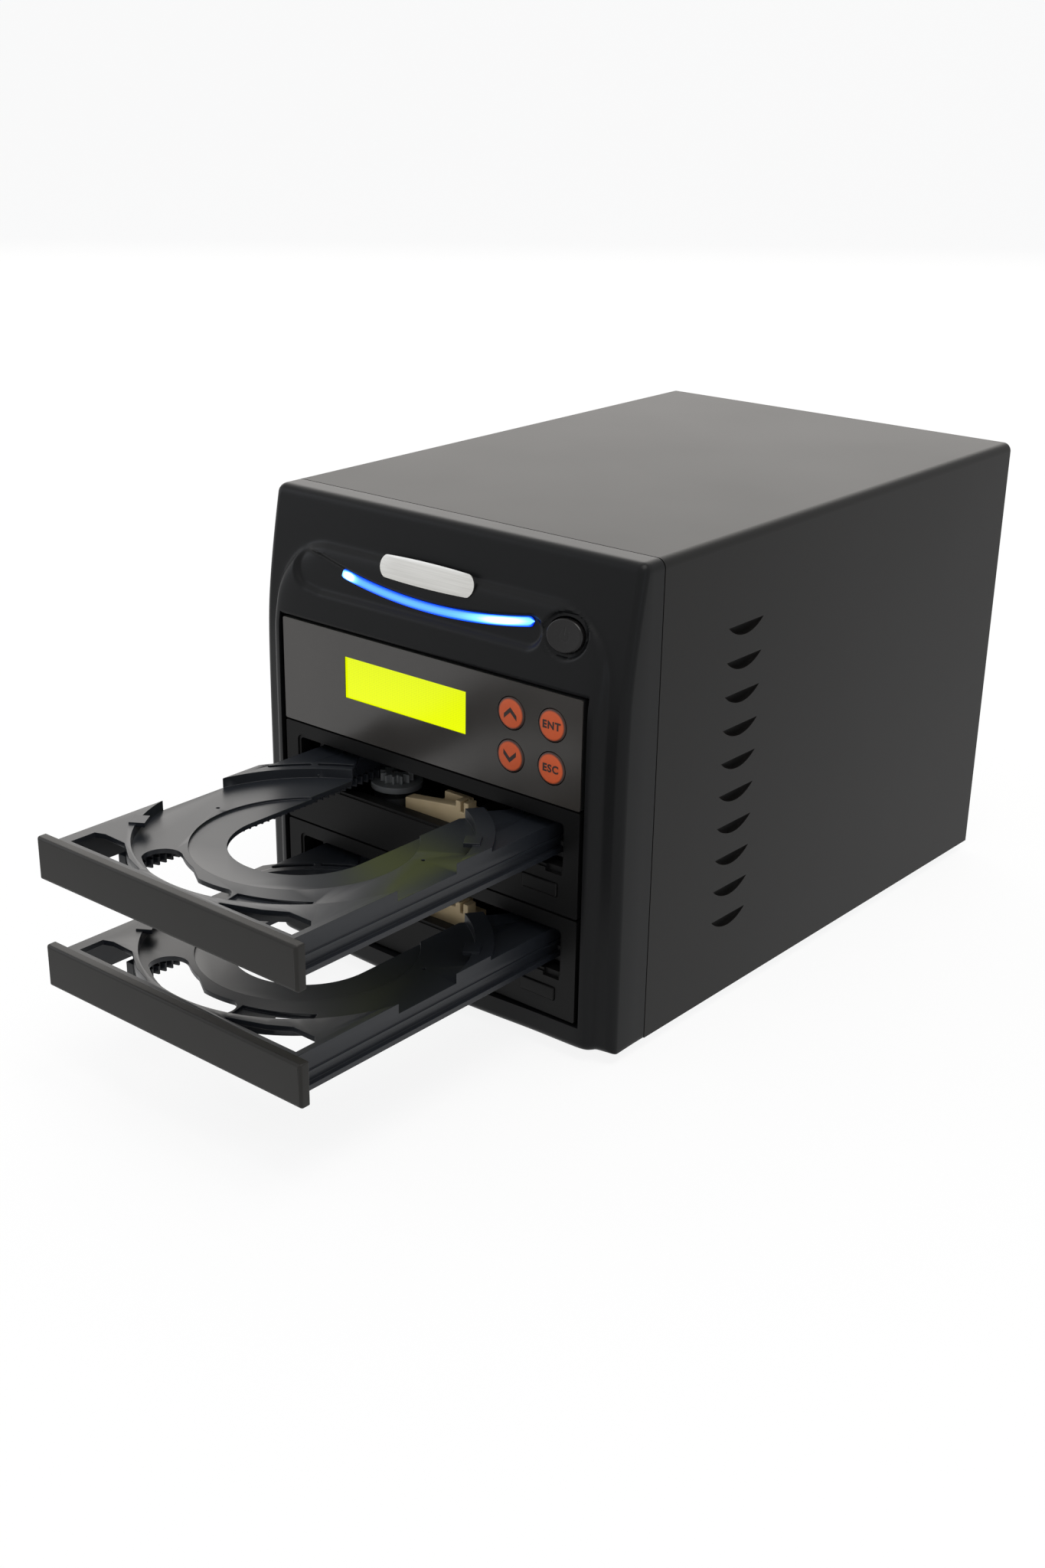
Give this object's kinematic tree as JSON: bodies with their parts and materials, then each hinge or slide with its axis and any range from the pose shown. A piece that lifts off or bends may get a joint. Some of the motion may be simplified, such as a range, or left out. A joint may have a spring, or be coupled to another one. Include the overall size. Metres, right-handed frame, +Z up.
{
  "type": "optical disc duplicator tower",
  "caption": "Small steel tower with a moulded front, a control panel with a display and keys, and optical drives whose trays slide out under it.",
  "frame": {"origin": "on the floor, under the middle of the overall length with both trays fully out", "axes": "+X to the right of someone facing the front, +Y from the front to the back, +Z up"},
  "size_m": [0.1784, 0.4072, 0.1885],
  "materials": {
    "case_paint": "satin black powder coat",
    "steel": "zinc-plated sheet",
    "foot_rubber": "matt",
    "bezel_plastic": "satin black moulding",
    "badge_metal": "plain satin plate",
    "lamp_plastic": "translucent blue, lit",
    "board": "circuit board",
    "film": "semi-gloss printed film",
    "display": "lit yellow-green",
    "key_orange": "orange cap with a dark ring",
    "cap_plastic": "dark smooth cap",
    "drive_plastic": "fine-textured black moulding",
    "tray_plastic": "charcoal, slightly bluish satin",
    "tray_front_plastic": "dark polished bar",
    "grey_plastic": "grey acetal",
    "beige_plastic": "natural acetal",
    "fan_plastic": "black",
    "wire": "plated wire",
    "cable": "dark sleeve",
    "red_cable": "red data cable"
  },
  "bodies": {
    "tower": {"case_cover": "case_paint", "chassis_pan": "steel", "feet": "foot_rubber", "front_frame": "steel", "drive_cage": "steel", "rear_panel": "steel", "front_bezel": "bezel_plastic", "badge_plate": "badge_metal", "light_bar": "lamp_plastic", "lamp_board": "board", "power_switch": "fan_plastic", "panel_plate": "bezel_plastic", "panel_film": "film", "key_board": "board", "display_module": "steel", "display_glass": "display", "controller_board": "board", "upper_drive_housing": "steel", "lower_drive_housing": "steel", "upper_drive_plate": "drive_plastic", "lower_drive_plate": "drive_plastic", "upper_loader_frame": "fan_plastic", "lower_loader_frame": "fan_plastic", "upper_loading_motor": "steel", "lower_loading_motor": "steel", "psu_case": "steel", "power_inlet": "bezel_plastic", "exhaust_fan_frame": "fan_plastic", "fan_grille": "wire", "case_screws": "steel", "upper_data_cable": "red_cable", "lower_data_cable": "red_cable", "power_harness": "cable"},
    "upper_tray": {"upper_disc_tray": "tray_plastic", "upper_tray_front": "tray_front_plastic"},
    "upper_gear": {"upper_tray_gear": "grey_plastic"},
    "upper_cam": {"upper_cam_slider": "beige_plastic"},
    "upper_sled_body": {"upper_sled": "fan_plastic"},
    "upper_table": {"upper_turntable": "fan_plastic"},
    "upper_laser": {"upper_pickup": "grey_plastic"},
    "upper_puck": {"upper_clamper": "grey_plastic"},
    "upper_eject": {"upper_eject_button": "drive_plastic"},
    "lower_tray": {"lower_disc_tray": "tray_plastic", "lower_tray_front": "tray_front_plastic"},
    "lower_gear": {"lower_tray_gear": "grey_plastic"},
    "lower_cam": {"lower_cam_slider": "beige_plastic"},
    "lower_sled_body": {"lower_sled": "fan_plastic"},
    "lower_table": {"lower_turntable": "fan_plastic"},
    "lower_laser": {"lower_pickup": "grey_plastic"},
    "lower_puck": {"lower_clamper": "grey_plastic"},
    "lower_eject": {"lower_eject_button": "drive_plastic"},
    "power_cap": {"power_button": "cap_plastic"},
    "up_cap": {"key_up": "key_orange"},
    "down_cap": {"key_down": "key_orange"},
    "enter_cap": {"key_enter": "key_orange"},
    "escape_cap": {"key_escape": "key_orange"},
    "rocker": {"power_rocker": "fan_plastic"},
    "exhaust_rotor": {"exhaust_fan_rotor": "fan_plastic"},
    "psu_rotor": {"psu_fan_rotor": "fan_plastic"}
  },
  "joints": [
    {"name": "upper_tray_slide", "type": "slide", "parent": "tower", "child": "upper_tray", "axis": [0, 1, 0], "range_m": [0, 0.1304]},
    {"name": "upper_gear_spin", "type": "hinge", "parent": "tower", "child": "upper_gear", "pos_m": [-0.032, -0.0542, 0.0759], "axis": [0, 0, -1], "range_deg": [0, 1250]},
    {"name": "upper_cam_slide", "type": "slide", "parent": "tower", "child": "upper_cam", "axis": [1, 0, 0], "range_m": [0, 0.01]},
    {"name": "upper_sled_lift", "type": "hinge", "parent": "tower", "child": "upper_sled_body", "pos_m": [0, 0.0762, 0.0749], "axis": [-1, 0, 0], "range_deg": [0, 4]},
    {"name": "upper_disc_spin", "type": "hinge", "parent": "upper_sled_body", "child": "upper_table", "pos_m": [0, -0.00645, 0.0813], "axis": [0, -0.0698, 0.9976], "continuous": true},
    {"name": "upper_pickup_slide", "type": "slide", "parent": "upper_sled_body", "child": "upper_laser", "axis": [0, 0.9976, 0.0698], "range_m": [0, 0.032]},
    {"name": "upper_clamper_spin", "type": "hinge", "parent": "tower", "child": "upper_puck", "pos_m": [0, -0.0058, 0.09235], "axis": [0, 0, 1], "continuous": true},
    {"name": "upper_eject_press", "type": "slide", "parent": "tower", "child": "upper_eject", "axis": [0, 1, 0], "range_m": [0, 0.0015], "stiffness_N_per_m": 600},
    {"name": "lower_tray_slide", "type": "slide", "parent": "tower", "child": "lower_tray", "axis": [0, 1, 0], "range_m": [0, 0.1304]},
    {"name": "lower_gear_spin", "type": "hinge", "parent": "tower", "child": "lower_gear", "pos_m": [-0.032, -0.0542, 0.0336], "axis": [0, 0, -1], "range_deg": [0, 1250]},
    {"name": "lower_cam_slide", "type": "slide", "parent": "tower", "child": "lower_cam", "axis": [1, 0, 0], "range_m": [0, 0.01]},
    {"name": "lower_sled_lift", "type": "hinge", "parent": "tower", "child": "lower_sled_body", "pos_m": [0, 0.0762, 0.0326], "axis": [-1, 0, 0], "range_deg": [0, 4]},
    {"name": "lower_disc_spin", "type": "hinge", "parent": "lower_sled_body", "child": "lower_table", "pos_m": [0, -0.00645, 0.039], "axis": [0, -0.0698, 0.9976], "continuous": true},
    {"name": "lower_pickup_slide", "type": "slide", "parent": "lower_sled_body", "child": "lower_laser", "axis": [0, 0.9976, 0.0698], "range_m": [0, 0.032]},
    {"name": "lower_clamper_spin", "type": "hinge", "parent": "tower", "child": "lower_puck", "pos_m": [0, -0.0058, 0.05005], "axis": [0, 0, 1], "continuous": true},
    {"name": "lower_eject_press", "type": "slide", "parent": "tower", "child": "lower_eject", "axis": [0, 1, 0], "range_m": [0, 0.0015], "stiffness_N_per_m": 600},
    {"name": "power_press", "type": "slide", "parent": "tower", "child": "power_cap", "axis": [0, 0.9781, -0.2079], "range_m": [0, 0.002], "stiffness_N_per_m": 600},
    {"name": "up_press", "type": "slide", "parent": "tower", "child": "up_cap", "axis": [0, 1, 0], "range_m": [0, 0.0006], "stiffness_N_per_m": 900},
    {"name": "down_press", "type": "slide", "parent": "tower", "child": "down_cap", "axis": [0, 1, 0], "range_m": [0, 0.0006], "stiffness_N_per_m": 900},
    {"name": "enter_press", "type": "slide", "parent": "tower", "child": "enter_cap", "axis": [0, 1, 0], "range_m": [0, 0.0006], "stiffness_N_per_m": 900},
    {"name": "escape_press", "type": "slide", "parent": "tower", "child": "escape_cap", "axis": [0, 1, 0], "range_m": [0, 0.0006], "stiffness_N_per_m": 900},
    {"name": "rocker_tilt", "type": "hinge", "parent": "tower", "child": "rocker", "pos_m": [-0.01, 0.1972, 0.15475], "axis": [-1, 0, 0], "range_deg": [0, 18]},
    {"name": "exhaust_fan_spin", "type": "hinge", "parent": "tower", "child": "exhaust_rotor", "pos_m": [0, 0.1877, 0.056], "axis": [0, 1, 0], "continuous": true},
    {"name": "psu_fan_spin", "type": "hinge", "parent": "tower", "child": "psu_rotor", "pos_m": [0, 0.1462, 0.131], "axis": [0, 0, 1], "continuous": true}
  ],
  "couplings": [
    {"joint": "upper_gear_spin", "follows": "upper_tray_slide", "rad_per_m": 166.67},
    {"joint": "upper_sled_lift", "follows": "upper_cam_slide", "rad_per_m": 6.9813},
    {"joint": "lower_gear_spin", "follows": "lower_tray_slide", "rad_per_m": 166.67},
    {"joint": "lower_sled_lift", "follows": "lower_cam_slide", "rad_per_m": 6.9813}
  ]
}
